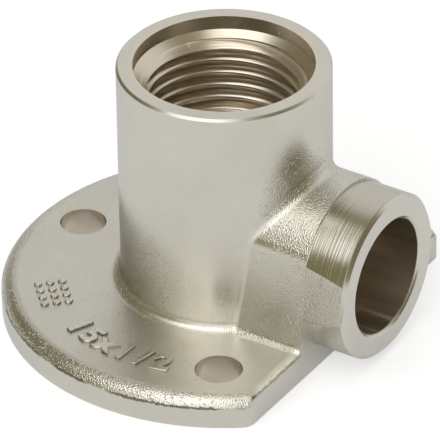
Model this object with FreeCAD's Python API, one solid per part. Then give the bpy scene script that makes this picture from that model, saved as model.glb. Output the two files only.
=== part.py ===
"""Wall plate elbow: a threaded socket standing on a screw-down flange, turned through 90 degrees to a
plain solder socket. The body is one brass forging, trimmed, bored and turned, then nickel plated.

Frame: origin on the threaded socket's axis in the wall face, +Z out of the wall, the outlet along +X.
Lengths are in millimetres.
"""

import FreeCAD, Part
import math
import os

from FreeCAD import Vector

# Threaded socket, cut for a half inch parallel pipe thread
thread_major_d = 20.955
thread_bore_depth = 15.0
counterbore_step = 0.92
counterbore_depth = 1.85
lead_in_angle = 50.0
rim_wall = 2.10
rim_edge_break = 0.30

# Solder socket, made for a 15 mm copper tube
tube_d = 15.0
tube_clearance = 0.10
socket_depth = 12.0
socket_wall = 3.20
socket_lead_in = 0.35
outlet_edge_chamfer = 0.50
turned_length = 6.15
turning_allowance = 0.30
outlet_lift = 0.80
side_flat_depth = 0.68
side_draft = 5.5
side_flare = 3.5

# Waterway between the two sockets
tube_stop = 1.00
riser_r = 6.00
waterway_overrun = 0.60
drill_point_angle = 118.0
thread_floor = 1.90

# Flange with its screw holes
flange_thickness = 4.20
hole_r = 3.00
hole_count = 3
hole_from_boss = 8.50
rim_from_hole = 6.70
face_from_boss = 4.30
corner_r = 1.80

# Forged surfaces before trimming
forged_rounding = 2.30
rim_trim = 0.20
face_trim = 1.20
inside_fillet = 1.30
side_blend = 3.00
flat_edge_fillet = 0.40

# Overshoot that makes a cutting tool run clear of the surface it starts from
clear = 1.00

# Sizes that follow from those above
thread_r = thread_major_d / 2
counterbore_r = thread_r + counterbore_step
boss_r = counterbore_r + rim_wall
socket_r = tube_d / 2 + tube_clearance
outlet_r = socket_r + socket_wall
forged_outlet_r = outlet_r + turning_allowance
outlet_z = outlet_r + outlet_lift
flat_half = outlet_r - side_flat_depth
draft_slope = math.tan(math.radians(side_draft))
flare_slope = math.tan(math.radians(side_flare))
waterway_r = socket_r - tube_stop
boss_top = outlet_z + waterway_r + thread_floor + thread_bore_depth
face_x = boss_r + face_from_boss
mouth_x = face_x + turned_length
hole_circle_r = boss_r + hole_from_boss
flange_r = hole_circle_r + rim_from_hole

X = Vector(1, 0, 0)
Y = Vector(0, 1, 0)
Z = Vector(0, 0, 1)


def rod(radius, start, axis, length):
    """A cylinder of the given radius, from a start point along an axis."""
    return Part.makeCylinder(radius, length, start, axis)


def revolved(profile, start, axis, across):
    """A solid turned about an axis from (radius, distance along the axis) points."""
    points = [start + across * radius + axis * along for radius, along in profile]
    face = Part.Face(Part.makePolygon(points + points[:1]))
    return face.revolve(start, axis, 360)


def plate_prism(radius, straight_x, corner, height):
    """An upright prism: a disc with one straight side at straight_x and two rounded corners."""
    corner_x = straight_x - corner
    corner_y = math.sqrt((radius - corner) ** 2 - corner_x ** 2)
    reach = radius / (radius - corner)
    turn = math.atan2(corner_y, corner_x) / 2

    def at(x, y):
        return Vector(x, y, 0)

    def corner_mid(side):
        return at(corner_x + corner * math.cos(turn), side * (corner_y + corner * math.sin(turn)))

    upper_rim = at(corner_x * reach, corner_y * reach)
    lower_rim = at(corner_x * reach, -corner_y * reach)
    upper_face = at(straight_x, corner_y)
    lower_face = at(straight_x, -corner_y)
    outline = [
        Part.Arc(upper_rim, at(-radius, 0), lower_rim).toShape(),
        Part.Arc(lower_rim, corner_mid(-1), lower_face).toShape(),
        Part.makeLine(lower_face, upper_face),
        Part.Arc(upper_face, corner_mid(1), upper_rim).toShape(),
    ]
    return Part.Face(Part.Wire(outline)).extrude(Z * height)


def middle(edge):
    return edge.valueAt((edge.FirstParameter + edge.LastParameter) / 2)


def fillet_where(shape, radius, test):
    """The shape with a fillet along every edge whose middle point passes the test."""
    chosen = [edge for edge in shape.Edges if test(middle(edge))]
    return shape.makeFillet(radius, chosen)


def side_cutters(start, end, slope):
    """What leaves a flat on either side of the outlet, drawn in upwards and spread beyond the face."""
    cutters = []
    for side in (-1, 1):
        points = []
        for along, height in [(start, -clear), (end, -clear), (end, boss_top), (start, boss_top)]:
            half = flat_half + (outlet_z - height) * draft_slope + (along - face_x) * slope
            points.append(Vector(along, side * half, height))
        cutters.append(Part.Face(Part.makePolygon(points + points[:1])).extrude(Y * side * boss_r))
    return cutters


def forged_outlet():
    """The outlet as forged: a round top that blends into flat sides, which run down to the wall."""
    length = face_x + face_trim + inside_fillet + clear
    barrel = rod(forged_outlet_r, Z * outlet_z, X, length)
    web = Part.makeBox(length, 2 * boss_r, outlet_z, Vector(0, -boss_r, 0))
    outlet = barrel.fuse(web).cut(side_cutters(0, length, 0)).removeSplitter()

    def on_shoulder(point):
        off_axis = math.hypot(point.y, point.z - outlet_z)
        along = 1e-4 < point.x < length - 1e-4
        return along and point.z > outlet_z and abs(off_axis - forged_outlet_r) < 1e-4

    return fillet_where(outlet, side_blend, on_shoulder)


def forged_stem():
    """The boss, joined to the forged outlet."""
    boss = rod(boss_r, Vector(), Z, boss_top)
    boss.rotate(Vector(), Z, 180)
    return boss.fuse(forged_outlet()).removeSplitter()


def forged_flange():
    """The flange as forged, a little large in plan, with its whole upper edge rounded over."""
    corner = corner_r + face_trim
    blank = plate_prism(flange_r + rim_trim, face_x + face_trim, corner, flange_thickness)
    return fillet_where(blank, forged_rounding, lambda point: abs(point.z - flange_thickness) < 1e-4)


def forging():
    """Stem and flange in one, with a fillet along the crease of the stem and around its foot."""
    blank = forged_stem().fuse(forged_flange()).removeSplitter()
    flat_end_x = face_x + face_trim - forged_rounding

    def inside_corner(point):
        off_boss = math.hypot(point.x, point.y)
        on_crease = abs(off_boss - boss_r) < 1e-4 and point.x > 0 and point.z < boss_top - 1e-4
        near_stem = off_boss < hole_circle_r and point.x < flat_end_x - 1e-3
        on_foot = near_stem and abs(point.z - flange_thickness) < 1e-4
        return on_foot or (on_crease and point.z > flange_thickness)

    return fillet_where(blank, inside_fillet, inside_corner)


def trimmed(blank):
    """The flash is cut off all round, which also leaves the flat face that the outlet stands out of."""
    return blank.common(plate_prism(flange_r, face_x, corner_r, boss_top + clear))


def turned_outlet():
    """The end of the outlet, turned true between its flat sides, with its outer edge broken."""
    profile = [
        (0, face_x),
        (outlet_r, face_x),
        (outlet_r, mouth_x - outlet_edge_chamfer),
        (outlet_r - outlet_edge_chamfer, mouth_x),
        (0, mouth_x),
    ]
    turned = revolved(profile, Z * outlet_z, X, Y)
    end = turned.cut(side_cutters(face_x - clear, mouth_x + clear, flare_slope))

    def under_flat(point):
        on_round = abs(math.hypot(point.y, point.z - outlet_z) - outlet_r) < 1e-4
        along = face_x + 1e-4 < point.x < mouth_x - outlet_edge_chamfer - 1e-4
        return on_round and along and point.z < outlet_z

    return fillet_where(end, flat_edge_fillet, under_flat)


def inlet_cutter():
    """Counterbore, lead-in and thread bore from the top, then the riser down to the outlet's axis."""
    lead_in = counterbore_step / math.tan(math.radians(lead_in_angle))
    profile = [
        (0, clear),
        (counterbore_r, clear),
        (counterbore_r, -counterbore_depth),
        (thread_r, -counterbore_depth - lead_in),
        (thread_r, -thread_bore_depth),
        (riser_r, -thread_bore_depth),
        (riser_r, outlet_z - boss_top),
        (0, outlet_z - boss_top),
    ]
    return revolved(profile, Z * boss_top, Z, X)


def outlet_cutter():
    """Socket for the tube, its lead-in and stop, and the waterway that runs in past the riser."""
    shoulder_x = mouth_x - socket_depth
    inner_x = -riser_r - waterway_overrun
    drill_point = waterway_r / math.tan(math.radians(drill_point_angle / 2))
    profile = [
        (0, inner_x - drill_point),
        (waterway_r, inner_x),
        (waterway_r, shoulder_x),
        (socket_r, shoulder_x),
        (socket_r, mouth_x - socket_lead_in),
        (socket_r + socket_lead_in, mouth_x),
        (socket_r + socket_lead_in, mouth_x + clear),
        (0, mouth_x + clear),
    ]
    return revolved(profile, Z * outlet_z, X, Y)


def screw_holes():
    """Plain holes spread evenly around the boss, with one straight behind it."""
    holes = []
    for index in range(hole_count):
        turn = math.pi + index * math.tau / hole_count
        centre = Vector(hole_circle_r * math.cos(turn), hole_circle_r * math.sin(turn), -clear)
        holes.append(rod(hole_r, centre, Z, flange_thickness + 2 * clear))
    return holes


def rim_edge_cutter():
    """A ring that takes the sharp outer edge off the top of the boss."""
    profile = [
        (boss_r - rim_edge_break, 0),
        (boss_r, -rim_edge_break),
        (boss_r + clear, -rim_edge_break),
        (boss_r + clear, clear),
        (boss_r - rim_edge_break, clear),
    ]
    return revolved(profile, Z * boss_top, Z, X)


def elbow_body():
    body = trimmed(forging()).fuse(turned_outlet()).removeSplitter()
    body = body.cut([inlet_cutter(), outlet_cutter(), rim_edge_cutter()] + screw_holes())
    return body.removeSplitter()


os.makedirs("parts", exist_ok=True)
body = elbow_body().Solids[0]
body.exportStep("parts/elbow_body.step")
box = body.BoundBox
print("elbow_body: valid", body.isValid(), "volume", round(body.Volume), "mm3, faces", len(body.Faces))
print("box", [round(v, 2) for v in (box.XMin, box.YMin, box.ZMin, box.XMax, box.YMax, box.ZMax)])
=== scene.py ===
# %% [markdown]
# # A wall plate elbow in nickel-plated brass
#
# This fitting is screwed to a wall. A pipe is pushed into its side socket, and a tap is screwed into the
# thread at the top. It is forged from one slug of brass, trimmed, turned and threaded, then plated.
# The solid comes from CAD as a fixed frame, so its shape and size are settled. Blender adds the thread,
# which CAD left as a plain bore, the raised size marks, the finish of each surface, and the light.

# %% Load the frame
import math

import bpy
from mathutils import Matrix, Vector


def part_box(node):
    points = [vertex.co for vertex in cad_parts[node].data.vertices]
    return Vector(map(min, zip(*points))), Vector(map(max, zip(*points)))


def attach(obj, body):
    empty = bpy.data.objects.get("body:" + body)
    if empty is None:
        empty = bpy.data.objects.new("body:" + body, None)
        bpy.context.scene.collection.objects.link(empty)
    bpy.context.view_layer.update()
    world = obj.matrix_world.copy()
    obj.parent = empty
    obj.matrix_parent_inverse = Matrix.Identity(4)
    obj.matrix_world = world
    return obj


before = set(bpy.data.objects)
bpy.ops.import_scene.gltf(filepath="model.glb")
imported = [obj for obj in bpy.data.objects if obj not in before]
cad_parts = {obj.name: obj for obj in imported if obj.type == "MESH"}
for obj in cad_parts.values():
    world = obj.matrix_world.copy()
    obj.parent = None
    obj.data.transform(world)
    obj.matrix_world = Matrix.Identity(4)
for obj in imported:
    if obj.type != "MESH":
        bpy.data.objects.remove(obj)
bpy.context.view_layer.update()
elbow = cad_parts["elbow_body"]
MM = 0.001
low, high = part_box("elbow_body")
print("elbow", [round(side / MM, 2) for side in high - low], "mm")

# %% [markdown]
# ## The camera
#
# The picture was taken from far away with a long lens, so the round mouth and the plate hardly shrink
# with distance. A long lens needs a matching long stand-off, or the shape looks swollen. The camera is
# given by its turn round the part, its height angle, its small roll and its distance, and its rotation
# is built from three axes. That is easier to read than three Euler angles.

# %% Place the camera
CAMERA_TURN = math.radians(33.165)
CAMERA_HEIGHT = math.radians(32.935)
CAMERA_ROLL = math.radians(-0.843)
CAMERA_DISTANCE = 687.518 * MM
FOCAL_PIXELS = 5443.485
PICTURE_PIXELS = 440
SENSOR_WIDTH = 36
NEAREST_SEEN = 10 * MM
LOOK_ACROSS = -0.784 * MM
LOOK_UP = 11.942 * MM

level = math.cos(CAMERA_HEIGHT)
back = Vector((math.sin(CAMERA_TURN) * level, -math.cos(CAMERA_TURN) * level, math.sin(CAMERA_HEIGHT)))
right = Vector((math.cos(CAMERA_TURN), math.sin(CAMERA_TURN), 0))
up = back.cross(right)
rolled_right = right * math.cos(CAMERA_ROLL) + up * math.sin(CAMERA_ROLL)
rolled_up = up * math.cos(CAMERA_ROLL) - right * math.sin(CAMERA_ROLL)
look_at = right * LOOK_ACROSS + Vector((0, 0, LOOK_UP))

lens = bpy.data.cameras.new("camera")
lens.sensor_width = SENSOR_WIDTH
lens.lens = FOCAL_PIXELS / PICTURE_PIXELS * SENSOR_WIDTH
lens.clip_start = NEAREST_SEEN
camera = bpy.data.objects.new("camera", lens)
bpy.context.scene.collection.objects.link(camera)
axes = Matrix((rolled_right, rolled_up, back)).transposed()
camera.matrix_world = Matrix.Translation(look_at + back * CAMERA_DISTANCE) @ axes.to_4x4()
bpy.context.scene.camera = camera
print("camera", round(lens.lens), "mm lens at", [round(value, 3) for value in camera.location])

# %% [markdown]
# ## Writing shader maths as sums
#
# A finish is made of nodes, and a long chain of Math nodes is hard to follow. This small class wraps one
# socket of a node tree. A plus or a times on it adds the Math node, so a mask reads like a sum.
# Any other node comes from the one method node, which sets the node's settings first, then its inputs.


# %% A socket that can be added and multiplied
class Socket:
    """One output of a node tree. Sums on it add Math nodes to that tree."""

    def __init__(self, tree, output=None):
        self.tree = tree
        self.output = output

    def node(self, kind, settings=None, inputs=None, output=0):
        """Adds a node: its settings first, then a value or a link for each input, by its identifier."""
        made = self.tree.nodes.new(kind)
        for name, value in (settings or {}).items():
            setattr(made, name, value)
        sockets = {socket.identifier: socket for socket in made.inputs}
        for name, value in (inputs or {}).items():
            if isinstance(value, Socket):
                self.tree.links.new(value.output, sockets[name])
            else:
                sockets[name].default_value = value
        outputs = {socket.identifier: socket for socket in made.outputs}
        return Socket(self.tree, outputs.get(output, next(iter(made.outputs), None)))

    def math(self, operation, first, second=0.0):
        values = {"Value": first, "Value_001": second}
        return self.node("ShaderNodeMath", {"operation": operation}, values)

    def __add__(self, other):
        return self.math("ADD", self, other)

    def __radd__(self, other):
        return self.math("ADD", other, self)

    def __sub__(self, other):
        return self.math("SUBTRACT", self, other)

    def __rsub__(self, other):
        return self.math("SUBTRACT", other, self)

    def __mul__(self, other):
        return self.math("MULTIPLY", self, other)

    def __rmul__(self, other):
        return self.math("MULTIPLY", other, self)

    def __truediv__(self, other):
        return self.math("DIVIDE", self, other)

    def __abs__(self):
        return self.math("ABSOLUTE", self)

    def most(self, other):
        """The larger of the two."""
        return self.math("MAXIMUM", self, other)

    def above(self, edge, soft):
        """0 below the edge and 1 above it, over a soft step of the given width."""
        span = {"Value": self, "From Min": edge - soft / 2, "From Max": edge + soft / 2}
        return self.node("ShaderNodeMapRange", {"interpolation_type": "SMOOTHSTEP"}, span)

    def below(self, edge, soft):
        """1 below the edge and 0 above it, over a soft step of the given width."""
        return 1 - self.above(edge, soft)

    def noise(self, size, detail=2.0, roughness=0.5):
        """Cloudy noise on a vector in mm, with lumps about as wide as size."""
        values = {"Vector": self, "Scale": 1 / size, "Detail": detail, "Roughness": roughness}
        return self.node("ShaderNodeTexNoise", {}, values)

    def dimples(self, size):
        """Distance from the middle of the nearest dimple on a vector in mm, in dimple sizes."""
        return self.node("ShaderNodeTexVoronoi", {}, {"Vector": self, "Scale": 1 / size}, "Distance")

    def mixed(self, first, second):
        """A colour between two, with this socket as the factor."""
        values = {"Factor_Float": self, "A_Color": first, "B_Color": second}
        return self.node("ShaderNodeMix", {"data_type": "RGBA"}, values, "Result_Color")


print("sums on sockets are ready")

# %% [markdown]
# ## The sizes that the finish follows
#
# A finish that follows the making has to know where the boss, the outlet and the plate are. Their sizes
# are named once here, in millimetres, and everything below is placed by them.

# %% Name the part's sizes
OUTLET_Z = 11.6
FACE_X = 17.8
OUTLET_R = 10.8
MOUTH_X = 23.95
SOCKET_R = 7.6
BOSS_R = 13.5
BOSS_TOP = 35.1
THREAD_FLOOR = 20.1
COUNTERBORE_R = 11.3975
COUNTERBORE_FLOOR = 33.25
PLATE_TOP = 4.2
PLATE_R = 28.7
TRIM_TOP = 2.84
STRAIGHT_TOP = 3.80
HOLE_CIRCLE_R = 22.0
HOLE_R = 3.0
HOLE_TURNS = [math.pi, math.pi / 3, -math.pi / 3]
print("boss", BOSS_TOP, "mm tall, plate", 2 * PLATE_R, "mm wide,", len(HOLE_TURNS), "holes")

# %% [markdown]
# ## Where each tool touched the part
#
# The real part has one metal but several surfaces. Forgings are blasted with shot, which leaves a grainy
# skin. The lathe leaves fine rings, and the trimming press leaves smooth straight walls. The shot struck
# unevenly: the upper boss is smooth, and the front, its foot, the web and the plate's top are calmer.
# Each zone is a mask between 0 and 1, worked out from Object coordinates in millimetres, so the finish
# stays in place from every side. Each pair below is the edge of a mask and the width of its soft step.

# %% Masks for the forged, turned and trimmed zones
BORE_WALL = (BOSS_R - 1.6, 0.2)
BORE_LOW = (THREAD_FLOOR - 8, 0.2)
THREAD_HIGH = (COUNTERBORE_FLOOR - 0.9, 0.3)
SOCKET_WALL = (SOCKET_R + 0.1, 0.1)
SOCKET_FROM = (0, 0.2)
TURNED_FROM = (FACE_X + 0.05, 0.1)
TURNED_WALL = (OUTLET_R - 0.06, 0.06)
MOUTH_FROM = (MOUTH_X - 0.55, 0.1)
RIM_FROM = (BOSS_TOP - 0.35, 0.1)
TUBE_SIDE = (0.35, 0.5)
TUBE_SIDE_RISE = 11
BOSS_WALL = (BOSS_R + 0.1, 0.1)
BOSS_FROM = (15, 9)
ON_PLANE = (0.08, 0.06)
STRAIGHT_HIGH = (PLATE_TOP + 0.5, 0.5)
HOLE_WALL_SQUARED = ((HOLE_R + 0.05) ** 2, 0.1)
RIM_WALL = (PLATE_R - 0.3, 0.1)
RIM_WALL_HIGH = (TRIM_TOP, 0.1)
PLATE_FROM = (BOSS_R + 0.5, 0.5)
WEB_FROM = (10, 4)
WEB_HIGH = (OUTLET_Z - 2, 3)
WEB_CALM = 0.5
FRONT_X = 0.50
FRONT_MINUS_Y = 0.866
FOOT_LOW = (PLATE_TOP + 0.1, 0.1)
FOOT_HIGH = (PLATE_TOP + 1.5, 0.6)
FOOT_FRONT = (0.62, 0.3)
FOOT_END = (8, 3)
FLANK_FRONT = (0.90, 0.16)
FLANK_LOW = (PLATE_TOP + 1, 1)


def zones(paint):
    """The masks of the part, and its place in mm, as a dictionary of sockets."""
    place = paint.node("ShaderNodeTexCoord", output="Object")
    scaled = {"Vector": place, "Scale": 1 / MM}
    place = paint.node("ShaderNodeVectorMath", {"operation": "SCALE"}, scaled)
    x, y, z = [paint.node("ShaderNodeSeparateXYZ", {}, {"Vector": place}, axis) for axis in "XYZ"]
    drop = z - OUTLET_Z
    from_boss = paint.math("SQRT", x * x + y * y)
    from_outlet = paint.math("SQRT", y * y + drop * drop)
    bore = from_boss.below(*BORE_WALL) * z.above(*BORE_LOW)
    thread = bore * z.below(*THREAD_HIGH)
    socket = from_outlet.below(*SOCKET_WALL) * x.above(*SOCKET_FROM)
    turned = x.above(*TURNED_FROM) * from_outlet.above(*TURNED_WALL)
    mouth = x.above(*MOUTH_FROM) * (1 - socket)
    rim_face = z.above(*RIM_FROM)
    tube_side = (x / from_boss).above(*TUBE_SIDE)
    boss = from_boss.below(*BOSS_WALL) * (z - TUBE_SIDE_RISE * tube_side).above(*BOSS_FROM)
    straight = abs(x - FACE_X).below(*ON_PLANE) * z.below(*STRAIGHT_HIGH)
    drilled = 0.0
    for turn in HOLE_TURNS:
        across = x - HOLE_CIRCLE_R * math.cos(turn)
        along = y - HOLE_CIRCLE_R * math.sin(turn)
        drilled = drilled + (across * across + along * along).below(*HOLE_WALL_SQUARED)
    rim_wall = from_boss.above(*RIM_WALL) * z.below(*RIM_WALL_HIGH)
    top = abs(z - PLATE_TOP).below(*ON_PLANE) * from_boss.above(*PLATE_FROM)
    web = x.above(*WEB_FROM) * z.below(*WEB_HIGH) * WEB_CALM
    front = (x * FRONT_X - y * FRONT_MINUS_Y) / from_boss
    foot = z.above(*FOOT_LOW) * z.below(*FOOT_HIGH)
    foot = foot * front.above(*FOOT_FRONT) * x.below(*FOOT_END)
    flank = front.above(*FLANK_FRONT) * z.above(*FLANK_LOW)
    inside = bore.most(socket).most(drilled)
    machined = turned.most(mouth).most(rim_face).most(straight).most(rim_wall)
    return {
        "place": place, "x": x, "y": y, "z": z, "from_boss": from_boss,
        "thread": thread, "socket": socket, "turned": turned, "inside": inside, "boss": boss, "top": top,
        "smooth": inside.most(machined).most(boss), "calm": foot.most(web).most(flank).most(top),
    }


print("zones are ready, with the smooth boss from", BOSS_FROM[0], "mm up")

# %% [markdown]
# ## The grain of each surface
#
# Bump does the grain. Its height is written in millimetres, so a forged skin of a few hundredths can be
# compared with a real one. Shot leaves small dimples with larger pocks among them, over broad soft waves.
# The rings of the lathe are noise that changes fast along the axis and slowly around it.

# %% Heights of the forged skin and the rings
DIMPLE_SIZE = 0.19
DIMPLE_DEPTH = 0.042
GRIT_SIZE = 0.12
GRIT_HEIGHT = 0.010
POCK_SIZE = 0.45
POCK_DEPTH = 0.08
POCK_EDGE = (0.22, 0.22)
POCK_PATCH_SIZE = 3.5
POCK_PATCH = (0.46, 0.2)
WAVE_SIZE = 3.0
WAVE_HEIGHT = 0.030
CALMED = 0.75
OUTLET_RINGS = 4.0
OUTLET_STRETCH = 0.10
OUTLET_RING_HEIGHT = 0.030
THREAD_RINGS = 3.0
THREAD_STRETCH = 0.04
THREAD_RING_HEIGHT = 0.07
RING_ROUGHNESS = 0.55


def forged_skin(zone):
    """Height of the shot-blasted skin in mm: dimples and pocks, with broad soft waves under them."""
    place = zone["place"]
    dimple = place.dimples(DIMPLE_SIZE)
    pits = dimple * dimple * DIMPLE_DEPTH + place.noise(GRIT_SIZE, detail=0.0) * GRIT_HEIGHT
    patches = place.noise(POCK_PATCH_SIZE, detail=1.0).above(*POCK_PATCH)
    pocks = place.dimples(POCK_SIZE).below(*POCK_EDGE) * patches
    waves = place.noise(WAVE_SIZE, detail=0.0) * WAVE_HEIGHT
    rough = (pits - pocks * POCK_DEPTH) * (1 - CALMED * zone["calm"])
    return (1 - zone["smooth"]) * (rough + waves)


def turning_rings(paint, zone):
    """Height of the fine rings that the lathe leaves round the outlet and down the thread, in mm."""
    x, y, z = [zone[axis] for axis in "xyz"]
    outlet = {"X": x * OUTLET_RINGS, "Y": y * OUTLET_STRETCH, "Z": z * OUTLET_STRETCH}
    thread = {"X": x * THREAD_STRETCH, "Y": y * THREAD_STRETCH, "Z": z * THREAD_RINGS}
    on_outlet = paint.node("ShaderNodeCombineXYZ", {}, outlet).noise(1.0, roughness=RING_ROUGHNESS)
    in_thread = paint.node("ShaderNodeCombineXYZ", {}, thread).noise(1.0, roughness=RING_ROUGHNESS)
    outlet_height = zone["turned"] * on_outlet * OUTLET_RING_HEIGHT
    return outlet_height + zone["thread"] * in_thread * THREAD_RING_HEIGHT


print("grain in mm: dimples", DIMPLE_DEPTH, "pocks", POCK_DEPTH, "waves", WAVE_HEIGHT)

# %% [markdown]
# ## Painted streaks and shade
#
# These marks are painted shade. Darker streaks run along the long bore in place of the reflections in it.
# A ragged line of painted shade runs on the rim and on the straight side, where the trimming press left a
# burr, and painted shade sits low on the sides of the raised marks. Each of these is a mask as well.

# %% Masks for the painted shade
STREAK_SIZE = 3.2
STREAK_STRETCH = 0.05
STREAK_EDGE = (0.5, 0.3)
BURR_SIZE = 0.5
BURR_SWING = 0.55
BURR_PATCH_SIZE = 5.0
BURR_PATCH = (0.45, 0.2)
RIM_BURR = (0.16, 0.14)
RIM_BURR_FROM = (PLATE_R - 0.55, 0.2)
STRAIGHT_BURR = (0.14, 0.14)
STRAIGHT_BURR_FROM = (FACE_X - 0.35, 0.2)
STRAIGHT_BURR_SHARE = 0.7
BESIDE_OUTLET = (OUTLET_R, 0.4)
# Where painted shade sits low on the sides of the raised marks.
MARK_SHADE_LOW = (PLATE_TOP + 0.03, 0.04)
MARK_SHADE_HIGH = (PLATE_TOP + 0.20, 0.10)
MARK_SHADE_FROM = (BOSS_R + 4, 1)
MARK_SHADE_END = (9, 1)


def painted_bore_streaks(paint, zone):
    """Darker streaks of painted shade that run along the outlet's bore, in place of the reflections in it.
    """
    stretched = {"X": zone["x"] * STREAK_STRETCH, "Y": zone["y"], "Z": zone["z"]}
    vector = paint.node("ShaderNodeCombineXYZ", {}, stretched)
    streaks = vector.noise(STREAK_SIZE, detail=3.0, roughness=0.6)
    return zone["socket"] * streaks.above(*STREAK_EDGE)


def burr_shade_line(zone):
    """Painted shade in a ragged line along the rim and along the straight side, where the trimming press
    left a burr.
    """
    ragged = (zone["place"].noise(BURR_SIZE) - 0.5) * BURR_SWING
    on_rim = abs(zone["z"] - TRIM_TOP - ragged).below(*RIM_BURR)
    on_rim = on_rim * zone["from_boss"].above(*RIM_BURR_FROM)
    on_straight = abs(zone["z"] - STRAIGHT_TOP - ragged * STRAIGHT_BURR_SHARE).below(*STRAIGHT_BURR)
    on_straight = on_straight * zone["x"].above(*STRAIGHT_BURR_FROM) * abs(zone["y"]).above(*BESIDE_OUTLET)
    patchy = zone["place"].noise(BURR_PATCH_SIZE, detail=1.0).above(*BURR_PATCH)
    return on_rim * patchy + on_straight * STRAIGHT_BURR_SHARE


def mark_foot_shade(zone):
    """Painted shade low on the sides of the raised marks."""
    low_side = zone["z"].above(*MARK_SHADE_LOW) * zone["z"].below(*MARK_SHADE_HIGH)
    return low_side * zone["from_boss"].above(*MARK_SHADE_FROM) * zone["x"].below(*MARK_SHADE_END)


print("burr lines at", TRIM_TOP, "and", STRAIGHT_TOP, "mm above the wall")

# %% [markdown]
# ## Nickel plate
#
# Bright nickel over brass is a warm, slightly yellow grey. As a metal it has no colour apart from what it
# reflects, so the Principled shader is fully metallic. The zones change how warm, how sharp and how grainy
# the reflection is; the turned end is painted darker, and the painted streaks and shade are mixed in last.

# %% The nickel finish
NICKEL = (0.73, 0.712, 0.658, 1)
NICKEL_WARM = (0.686, 0.660, 0.592, 1)
THIN_PLATE = (0.78, 0.70, 0.595, 1)
# The turned colour is painted darker than the nickel: painted shade that dims the soft box's reflection,
# which the lathe rings scatter.
TURNED_SHADED_METAL = (0.62, 0.593, 0.524, 1)
# The bore colour is painted shade for the darker streaks in the socket.
PAINTED_BORE_SHADE = (0.58, 0.505, 0.41, 1)
# Dark colour of the painted shade on the trim edges and low on the raised marks.
PAINTED_SHADE = (0.22, 0.19, 0.14, 1)
GRAZING_TINT = (0.86, 0.87, 0.90, 1)
CLOUD_SIZE = 6.0
CLOUD_EDGE = (0.5, 0.5)
CLOUD_SHARE = 0.6
THIN_SHARE = 0.8
MARK_SHADE_SHARE = 0.65
POLISHED = 0.13
HAZE_SIZE = 1.5
HAZE = 0.06
DULL_FORGED = 0.03
DULL_CALM = 0.10
DULL_TURNED = 0.07
DULL_SOCKET = 0.15


def nickel_plate():
    """The one material of the part, with every zone and the painted shade in it."""
    material = bpy.data.materials.new("nickel_plate")
    material.use_nodes = True
    tree = material.node_tree
    shader = tree.nodes["Principled BSDF"]
    paint = Socket(tree)
    zone = zones(paint)
    forged = 1 - zone["smooth"]

    height = forged_skin(zone) + turning_rings(paint, zone)
    grain = {"Strength": 1.0, "Distance": MM, "Height": height}
    bump = paint.node("ShaderNodeBump", {}, grain, "Normal")
    tree.links.new(bump.output, shader.inputs["Normal"])

    cloud = zone["place"].noise(CLOUD_SIZE, detail=3.0).above(*CLOUD_EDGE) * CLOUD_SHARE
    # The turned end is painted darker, as painted shade that dims its reflection.
    colour = zone["turned"].mixed(cloud.mixed(NICKEL, NICKEL_WARM), TURNED_SHADED_METAL)
    colour = (zone["inside"] * THIN_SHARE).mixed(colour, THIN_PLATE)
    # Darker streaks of painted shade along the socket's bore.
    colour = painted_bore_streaks(paint, zone).mixed(colour, PAINTED_BORE_SHADE)
    # A ragged line of painted shade along the trim edges.
    colour = burr_shade_line(zone).mixed(colour, PAINTED_SHADE)
    # Painted shade low on the sides of the raised marks.
    colour = (mark_foot_shade(zone) * MARK_SHADE_SHARE).mixed(colour, PAINTED_SHADE)
    tree.links.new(colour.output, shader.inputs["Base Color"])

    haze = zone["place"].noise(HAZE_SIZE, detail=3.0) * HAZE
    dull = forged * DULL_FORGED
    for name in ["boss", "top", "calm"]:
        dull = dull + zone[name] * DULL_CALM
    roughness = POLISHED + haze + dull + zone["turned"] * DULL_TURNED + zone["socket"] * DULL_SOCKET
    tree.links.new(roughness.output, shader.inputs["Roughness"])
    shader.inputs["Metallic"].default_value = 1.0
    shader.inputs["Specular Tint"].default_value = GRAZING_TINT
    return material


nickel = nickel_plate()
elbow.material_slots[0].material = nickel
print("nickel plate has", len(nickel.node_tree.nodes), "nodes")

# %% [markdown]
# ## Helpers for modelling
#
# Most mesh tools act on what is selected. Two helpers clear the selection and pick points or edges by
# their place, so nothing depends on the order of the vertices. The third takes one closed shape off
# another, and the last gives a finished piece its shading and its plate.

# %% Select, cut and plate
NEAR = 0.01
SLIVER = 0.0005


def deselect_all():
    if bpy.context.mode != "OBJECT":
        bpy.ops.object.mode_set(mode="OBJECT")
    bpy.ops.object.select_all(action="DESELECT")


def pick(piece, wanted, kind="VERT"):
    """Leaves only the vertices or edges that wanted() accepts selected, with the piece in edit mode."""
    bpy.ops.object.mode_set(mode="EDIT")
    bpy.ops.mesh.select_mode(type=kind)
    bpy.ops.mesh.select_all(action="DESELECT")
    bpy.ops.object.mode_set(mode="OBJECT")
    mesh = piece.data
    for part in (mesh.vertices if kind == "VERT" else mesh.edges):
        points = [part.co] if kind == "VERT" else [mesh.vertices[i].co for i in part.vertices]
        part.select = all(wanted(point / MM) for point in points)
    bpy.ops.object.mode_set(mode="EDIT")


def cut_away(piece, tool):
    """Takes the tool's shape off a closed piece, cleans the cut, and leaves the piece active."""
    deselect_all()
    piece.select_set(True)
    bpy.context.view_layer.objects.active = piece
    cut = piece.modifiers.new("cut", "BOOLEAN")
    cut.operation = "DIFFERENCE"
    cut.solver = "MANIFOLD"
    cut.object = tool
    bpy.ops.object.modifier_apply(modifier="cut")
    bpy.data.objects.remove(tool)
    bpy.ops.object.mode_set(mode="EDIT")
    bpy.ops.mesh.select_all(action="SELECT")
    bpy.ops.mesh.dissolve_degenerate(threshold=SLIVER * MM)
    bpy.ops.object.mode_set(mode="OBJECT")


def shade_and_plate(piece, crease):
    """Shades the active piece smooth up to the crease angle and gives it the nickel plate."""
    bpy.ops.object.shade_smooth_by_angle(angle=crease)
    piece.data.materials.clear()
    piece.data.materials.append(nickel)


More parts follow.
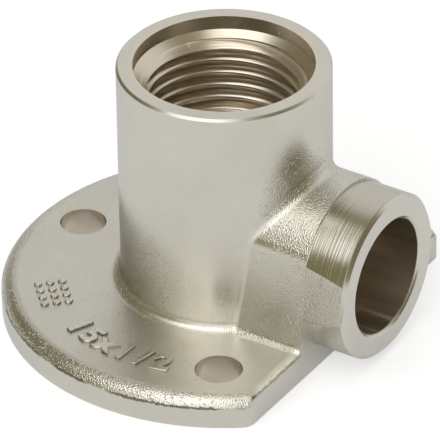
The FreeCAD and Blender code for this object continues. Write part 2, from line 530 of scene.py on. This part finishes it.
print("places are matched to", NEAR, "mm")

# %% [markdown]
# ## One tooth of the thread
#
# The top bore takes a half-inch pipe thread, a ridge wound on the wall with a pitch of 1.814 mm. CAD keeps
# the bore plain, so that a pipe end can be checked against a round wall. Here one tooth is drawn from a
# plane: its crest is narrowed and bevelled, and its base is sunk a little way into the wall.

# %% Draw one tooth
PITCH = 1.814
MAJOR_R = 10.4775
TOOTH_DEPTH = 1.10
HALF_FLANK = math.radians(27.5)
CREST_WIDTH = 0.34
CREST_BEVEL = 0.07
SUNK = 0.15

base_width = CREST_WIDTH + 2 * TOOTH_DEPTH * math.tan(HALF_FLANK)
crest_r = MAJOR_R - TOOTH_DEPTH
middle_r = crest_r + TOOTH_DEPTH / 2
tooth_middle = (0, 0, THREAD_FLOOR * MM)
deselect_all()
bpy.ops.mesh.primitive_plane_add(size=1, rotation=(math.pi / 2, 0, 0))
thread = bpy.context.object
thread.name = "thread_turns"
thread.scale = (TOOTH_DEPTH * MM, base_width * MM, 1)
thread.location = (middle_r * MM, 0, THREAD_FLOOR * MM)
bpy.ops.object.transform_apply(location=True, rotation=True, scale=True)
pick(thread, lambda point: point.x < middle_r)
bpy.ops.transform.resize(value=(1, 1, CREST_WIDTH / base_width), center_override=tooth_middle)
bpy.ops.mesh.bevel(offset=CREST_BEVEL * MM, segments=2, affect="VERTICES")
pick(thread, lambda point: point.x > MAJOR_R - NEAR, "EDGE")
bpy.ops.mesh.extrude_edges_move(TRANSFORM_OT_translate={"value": (SUNK * MM, 0, 0)})
bpy.ops.mesh.select_all(action="SELECT")
bpy.ops.mesh.delete(type="ONLY_FACE")
pick(thread, lambda point: abs(point.x - MAJOR_R) < NEAR, "EDGE")
bpy.ops.mesh.delete(type="EDGE")
bpy.ops.object.mode_set(mode="OBJECT")
print("tooth", len(thread.data.vertices), "points,", round(base_width, 3), "mm wide at the wall")

# %% [markdown]
# ## Winding the tooth
#
# A Screw modifier carries the tooth up the bore, one pitch for each turn. It starts on the floor of the
# bore and runs a turn too far, so there is metal to cut at both ends. The open ends are filled, because a
# cut needs a closed shape.

# %% Wind the tooth up the bore
TURN_STEPS = 96
MERGED = 0.001

turns = math.ceil((COUNTERBORE_FLOOR - THREAD_FLOOR) / PITCH) + 1
winding = thread.modifiers.new("winding", "SCREW")
winding.axis = "Z"
winding.iterations = turns
winding.screw_offset = PITCH * MM
winding.steps = TURN_STEPS
winding.render_steps = TURN_STEPS
bpy.ops.object.modifier_apply(modifier="winding")
bpy.ops.object.mode_set(mode="EDIT")
bpy.ops.mesh.select_all(action="SELECT")
bpy.ops.mesh.remove_doubles(threshold=MERGED * MM)
bpy.ops.mesh.fill_holes(sides=0)
bpy.ops.mesh.select_all(action="SELECT")
bpy.ops.mesh.normals_make_consistent(inside=False)
bpy.ops.object.mode_set(mode="OBJECT")
print("winding", turns, "turns,", len(thread.data.polygons), "faces")

# %% [markdown]
# ## Cutting both ends of the thread
#
# A cone cuts the first turn at the top, just as the lead-in of the real bore does. A round block cuts the
# lower end flat, a hair above the floor. Both are closed shapes, so the thread stays closed too. A plain
# slice with its hole filled would leave stray faces across the bore.

# %% Cut the lead-in and the lower end
LEAD_IN_ANGLE = math.radians(50)
CONE_REACH = 6.0
BLOCK_MARGIN = 1
FLOOR_GAP = 0.02
THREAD_CREASE = math.radians(35)

cone_spread = CONE_REACH * math.tan(LEAD_IN_ANGLE)
deselect_all()
bpy.ops.mesh.primitive_cone_add(
    vertices=TURN_STEPS * 2,
    radius1=(COUNTERBORE_R - cone_spread) * MM,
    radius2=(COUNTERBORE_R + cone_spread) * MM,
    depth=2 * CONE_REACH * MM,
    location=(0, 0, COUNTERBORE_FLOOR * MM),
)
cut_away(thread, bpy.context.object)
bpy.ops.mesh.primitive_cylinder_add(
    vertices=TURN_STEPS,
    radius=(COUNTERBORE_R + BLOCK_MARGIN) * MM,
    depth=2 * PITCH * MM,
    location=(0, 0, (THREAD_FLOOR + FLOOR_GAP - PITCH) * MM),
)
cut_away(thread, bpy.context.object)
shade_and_plate(thread, THREAD_CREASE)
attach(thread, "root")
thread_top = max(point.co.z for point in thread.data.vertices) / MM
print("thread", len(thread.data.polygons), "faces, top at", round(thread_top, 2), "mm")

# %% [markdown]
# ## Raised size figures
#
# Forging dies leave raised marks on the plate, here the tube and thread sizes. Text in Blender is a curve
# with its own extrude and bevel, so each figure is raised and rounded before it is made a mesh. Every
# figure is turned to follow the rim, and half of its height is sunk in the plate.

# %% Raise the size figures
SIZE_TEXT = "15x1/2"
FIGURE_SIZE = 4.4
FIGURE_RISE = 0.18
FIGURE_EDGE = 0.14
FIGURE_EDGE_STEPS = 2
FIGURE_BOLD = 0.10
ROW_R = 23.6
ROW_MIDDLE = math.radians(-96)
ROW_STEP = math.radians(7.0)
MARK_CREASE = math.radians(50)

deselect_all()
figures = []
for index, letter in enumerate(SIZE_TEXT):
    turn = ROW_MIDDLE + (index - (len(SIZE_TEXT) - 1) / 2) * ROW_STEP
    bpy.ops.object.text_add()
    figure = bpy.context.object
    figure.data.body = letter
    figure.data.align_x = "CENTER"
    figure.data.size = FIGURE_SIZE * MM
    figure.data.offset = FIGURE_BOLD * MM
    figure.data.extrude = FIGURE_RISE * MM
    figure.data.bevel_depth = FIGURE_EDGE * MM
    figure.data.bevel_resolution = FIGURE_EDGE_STEPS
    bpy.ops.object.convert(target="MESH")
    figure.location = (ROW_R * math.cos(turn) * MM, ROW_R * math.sin(turn) * MM, PLATE_TOP * MM)
    figure.rotation_euler = (0, 0, turn + math.pi / 2)
    bpy.ops.object.transform_apply(location=True, rotation=True, scale=True)
    figures.append(figure)
for figure in figures:
    figure.select_set(True)
bpy.ops.object.join()
marks = bpy.context.object
marks.name = "size_figures"
shade_and_plate(marks, MARK_CREASE)
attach(marks, "root")
print("size figures", len(figures), "letters,", len(marks.data.polygons), "faces")

# %% [markdown]
# ## Tally dots
#
# A small block of dots stands beside the figures. One dot is a short round bar with its upper edge
# rounded over. It is copied into rows and columns that are turned to follow the rim, then joined.

# %% Raise the tally dots
DOT_R = 0.55
DOT_RISE = 0.26
DOT_SIDES = 24
DOT_EDGE = 0.2
DOT_EDGE_STEPS = 4
DOT_ROWS = 3
DOT_COLUMNS = 4
DOT_STEP = 1.55
BLOCK_R = 22.4
BLOCK_TURN = math.radians(-135.4)

deselect_all()
bpy.ops.mesh.primitive_cylinder_add(vertices=DOT_SIDES, radius=DOT_R * MM, depth=2 * DOT_RISE * MM)
dot = bpy.context.object
pick(dot, lambda point: point.z > DOT_RISE - NEAR, "EDGE")
bpy.ops.mesh.bevel(offset=DOT_EDGE * MM, segments=DOT_EDGE_STEPS)
bpy.ops.object.mode_set(mode="OBJECT")
dots = []
for row in range(DOT_ROWS):
    for column in range(DOT_COLUMNS):
        out = BLOCK_R + (row - (DOT_ROWS - 1) / 2) * DOT_STEP
        side = (column - (DOT_COLUMNS - 1) / 2) * DOT_STEP
        x = out * math.cos(BLOCK_TURN) - side * math.sin(BLOCK_TURN)
        y = out * math.sin(BLOCK_TURN) + side * math.cos(BLOCK_TURN)
        deselect_all()
        dot.select_set(True)
        bpy.ops.object.duplicate(linked=False)
        copy = bpy.context.selected_objects[0]
        copy.location = (x * MM, y * MM, PLATE_TOP * MM)
        dots.append(copy)
bpy.data.objects.remove(dot)
for copy in dots:
    copy.select_set(True)
bpy.context.view_layer.objects.active = dots[0]
bpy.ops.object.transform_apply(location=True, rotation=True, scale=True)
bpy.ops.object.join()
tally = bpy.context.object
tally.name = "tally_dots"
shade_and_plate(tally, MARK_CREASE)
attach(tally, "root")
print("tally dots", len(dots), "dots,", len(tally.data.polygons), "faces")

# %% [markdown]
# ## The floor
#
# The part lies on a plain white sheet. The sheet is an ordinary matt surface, so it takes the part's soft
# shadow. A little light of its own lifts the open sheet to white for the camera. The metal mirrors less
# than half of that lift, so its walls stay grey. Under the plate the lift is weaker, a painted shadow that
# shows through the holes.

# %% Lay the white sheet
SHEET_SIDE = 4.0
SHEET_GAP = 0.02
SHEET_COLOUR = (0.80, 0.805, 0.84, 1)
LIFT_COLOUR = (0.96, 0.97, 1, 1)
SHEET_LIFT = 0.53
MIRRORED_SHARE = 0.42
LIFT_IN_PAINTED_SHADOW = 0.6
INSET = 1
RAYS = ["Is Camera Ray", "Is Glossy Ray", "Is Transmission Ray"]

deselect_all()
bpy.ops.mesh.primitive_plane_add(size=SHEET_SIDE, location=(0, 0, -SHEET_GAP * MM))
sheet = bpy.context.object
sheet.name = "white_sheet"
paper = bpy.data.materials.new("white_sheet")
paper.use_nodes = True
paper.node_tree.nodes.clear()
sums = Socket(paper.node_tree)
camera_ray, glossy_ray, through_ray = [sums.node("ShaderNodeLightPath", output=kind) for kind in RAYS]
spot = sums.node("ShaderNodeTexCoord", output="Object")
from_axis = sums.node("ShaderNodeVectorMath", {"operation": "LENGTH"}, {"Vector": spot}, "Value")
spot_x = sums.node("ShaderNodeSeparateXYZ", {}, {"Vector": spot}, "X")
in_round = from_axis.below((PLATE_R - INSET) * MM, INSET * MM)
under_plate = in_round * spot_x.below((FACE_X - INSET) * MM, INSET * MM)
seen = camera_ray.most(through_ray).most(glossy_ray * MIRRORED_SHARE)
# Under the plate the lift is weaker: a painted shadow, seen through the holes.
seen = seen * (1 - under_plate * (1 - LIFT_IN_PAINTED_SHADOW))
matt = sums.node("ShaderNodeBsdfDiffuse", {}, {"Color": SHEET_COLOUR})
lift = sums.node("ShaderNodeEmission", {}, {"Color": LIFT_COLOUR, "Strength": seen * SHEET_LIFT})
both = sums.node("ShaderNodeAddShader", {}, {"Shader": matt, "Shader_001": lift})
sums.node("ShaderNodeOutputMaterial", {}, {"Surface": both})
sheet.data.materials.append(paper)
print("white sheet", SHEET_SIDE, "m")

# %% [markdown]
# ## The soft box
#
# Metal shows its surroundings, so lighting it means choosing what it reflects. One large soft box hangs
# over the part, a little to the left and towards the camera. Its edges draw the bright bands along the
# outlet and the rim of the plate. Places in the room are given as shares of right, near and overhead.

# %% Hang the soft box
BOX_DISTANCE = 0.75
BOX_WIDTH = 0.60
BOX_LENGTH = 0.70
BOX_RADIANCE = 1.12
BOX_COLOUR = (0.97, 0.985, 1.0)
BOX_PLACE = (-0.27, 0.37, 0.89)
BOX_TURN_RIGHT = 0.8
BOX_TURN_NEAR = 0.6
towards = Vector((math.sin(CAMERA_TURN), -math.cos(CAMERA_TURN), 0))
overhead = Vector((0, 0, 1))


def room_side(across, near, high):
    """The direction of a place in the room, from its shares of right, near and overhead."""
    return (right * across + towards * near + overhead * high).normalized()


box_side = room_side(*BOX_PLACE)
box_across = (right * BOX_TURN_RIGHT + towards * BOX_TURN_NEAR).cross(box_side).normalized()
box_along = box_side.cross(box_across)
panel = bpy.data.lights.new("soft_box", "AREA")
panel.shape = "RECTANGLE"
panel.color = BOX_COLOUR
panel.size = BOX_LENGTH
panel.size_y = BOX_WIDTH
panel.energy = BOX_RADIANCE * math.pi * BOX_WIDTH * BOX_LENGTH
soft_box = bpy.data.objects.new("soft_box", panel)
bpy.context.scene.collection.objects.link(soft_box)
box_axes = Matrix((box_across, box_along, box_side)).transposed()
soft_box.matrix_world = Matrix.Translation(box_side * BOX_DISTANCE) @ box_axes.to_4x4()
soft_box.visible_camera = False
print("soft box", BOX_WIDTH, "x", BOX_LENGTH, "m")

# %% [markdown]
# ## The room
#
# The room is a dim brown. A pale wall stands behind the part, a beige one is on the camera's side, and a
# soft glow hangs at the upper left. Four darker corners draw the olive and dark bands beside the bright
# ones. Each wall is a round patch: its edge is the cosine of its half width, with a soft step around it.

# %% Paint the room
ROOM = (0.31, 0.284, 0.172, 1)
PALE_WALL = (0.77, 0.76, 0.73, 1)
BEIGE_WALL = (1.10, 1.075, 1.01, 1)
GLOW = (0.62, 0.60, 0.555, 1)
OLIVE_CORNER = (0.214, 0.193, 0.08, 1)
DARK_CORNER = (0.203, 0.182, 0.118, 1)
WHITE = (1, 1, 1, 1)
WALLS = [
    {"place": (0.40, -0.80, 0.45), "edge": 0.66, "soft": 0.24, "colour": PALE_WALL},
    {"place": (-0.34, 0.84, 0.37), "edge": 0.76, "soft": 0.25, "colour": BEIGE_WALL},
    {"place": (-0.68, 0.24, 0.69), "edge": 0.965, "soft": 0.04, "colour": GLOW},
    {"place": (-0.847, 0.432, 0.309), "edge": 0.945, "soft": 0.06, "colour": OLIVE_CORNER},
    {"place": (-0.99, -0.05, 0.14), "edge": 0.93, "soft": 0.08, "colour": OLIVE_CORNER},
    {"place": (-0.69, -0.48, 0.545), "edge": 0.86, "soft": 0.22, "colour": DARK_CORNER},
    {"place": (0.66, 0.52, 0.45), "edge": 0.88, "soft": 0.24, "colour": DARK_CORNER},
]

room = bpy.data.worlds.new("studio")
room.use_nodes = True
bpy.context.scene.world = room
air = Socket(room.node_tree)
direction = air.node("ShaderNodeTexCoord", output="Generated")
colour = ROOM
for wall in WALLS:
    sides = {"Vector": direction, "Vector_001": room_side(*wall["place"])}
    facing = air.node("ShaderNodeVectorMath", {"operation": "DOT_PRODUCT"}, sides, "Value")
    colour = facing.above(wall["edge"], wall["soft"]).mixed(colour, wall["colour"])
camera_ray = air.node("ShaderNodeLightPath", output="Is Camera Ray")
colour = camera_ray.mixed(colour, WHITE)
background = room.node_tree.nodes["Background"]
room.node_tree.links.new(colour.output, background.inputs["Color"])
background.inputs["Strength"].default_value = 1.0
bpy.context.scene.view_settings.view_transform = "Standard"
print("room with", len(WALLS), "painted patches")
